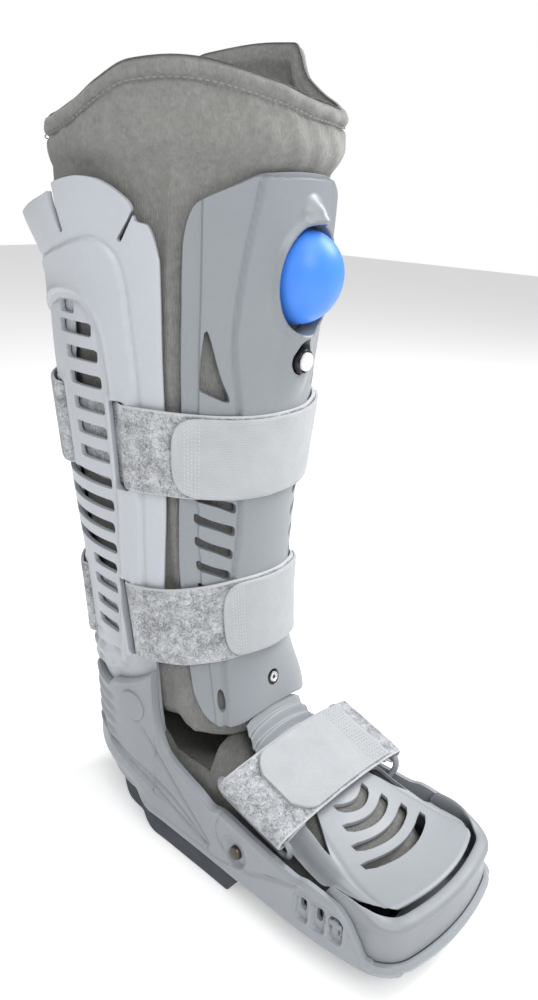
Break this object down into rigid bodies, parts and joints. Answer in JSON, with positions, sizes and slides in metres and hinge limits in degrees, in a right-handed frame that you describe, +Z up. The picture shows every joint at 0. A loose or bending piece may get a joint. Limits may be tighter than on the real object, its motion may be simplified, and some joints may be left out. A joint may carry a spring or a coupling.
{
  "type": "walking boot",
  "caption": "Tall orthopaedic walking boot: vented rear shell, shin plate with air bulb, rocker sole, toe guard, hook-and-loop straps and a padded liner open at the top.",
  "frame": {"origin": "middle of the bottom of the boot's box, on the floor", "axes": "+Z up the leg, -Y to the toe, +X to the side with the higher liner flap"},
  "size_m": [0.1742, 0.3046, 0.478],
  "materials": {
    "outsole": "matt slate rubber",
    "foot_base": "satin grey moulding",
    "footbed": "matt black foam",
    "calf_shell": "satin light cool grey",
    "shin_plate": "satin mid grey",
    "dorsal_plate": "satin grey",
    "toe_guard": "satin grey",
    "toe_latch": "satin grey",
    "strap_loop": "satin grey",
    "bulb": "satin blue silicone",
    "valve_body": "gloss black",
    "valve_button": "white",
    "rivet": "dark metal",
    "ankle_disc": "satin grey",
    "strap": "heather grey loop webbing",
    "strap_tab": "light grey twill hook tab",
    "liner": "grey fleece over padding"
  },
  "bodies": {
    "boot": {"outsole": "outsole", "foot_base": "foot_base", "footbed": "footbed", "calf_shell": "calf_shell", "shin_plate": "shin_plate", "dorsal_plate": "dorsal_plate", "strap_loop_left": "strap_loop", "strap_loop_right": "strap_loop", "bulb": "bulb", "valve_body": "valve_body", "shin_rivet": "rivet", "rail_rivet_left": "rivet", "rail_rivet_right": "rivet", "ankle_disc_left": "ankle_disc", "ankle_disc_right": "ankle_disc", "calf_strap": "strap", "ankle_strap": "strap", "foot_strap": "strap", "calf_strap_tab": "strap_tab", "ankle_strap_tab": "strap_tab", "foot_strap_tab": "strap_tab", "liner_leg": "liner", "liner_foot": "liner"},
    "guard": {"toe_guard": "toe_guard", "toe_latch_left": "toe_latch", "toe_latch_right": "toe_latch"},
    "button": {"valve_button": "valve_button"}
  },
  "joints": [
    {"name": "guard_slide", "type": "slide", "parent": "boot", "child": "guard", "axis": [0, 1, 0], "range_m": [0, 0.022], "deforming": ["toe_latch_left", "toe_latch_right"]},
    {"name": "valve_push", "type": "slide", "parent": "boot", "child": "button", "axis": [0.0896, -0.9928, -0.0796], "range_m": [-0.0015, 0], "stiffness_N_per_m": 800}
  ]
}
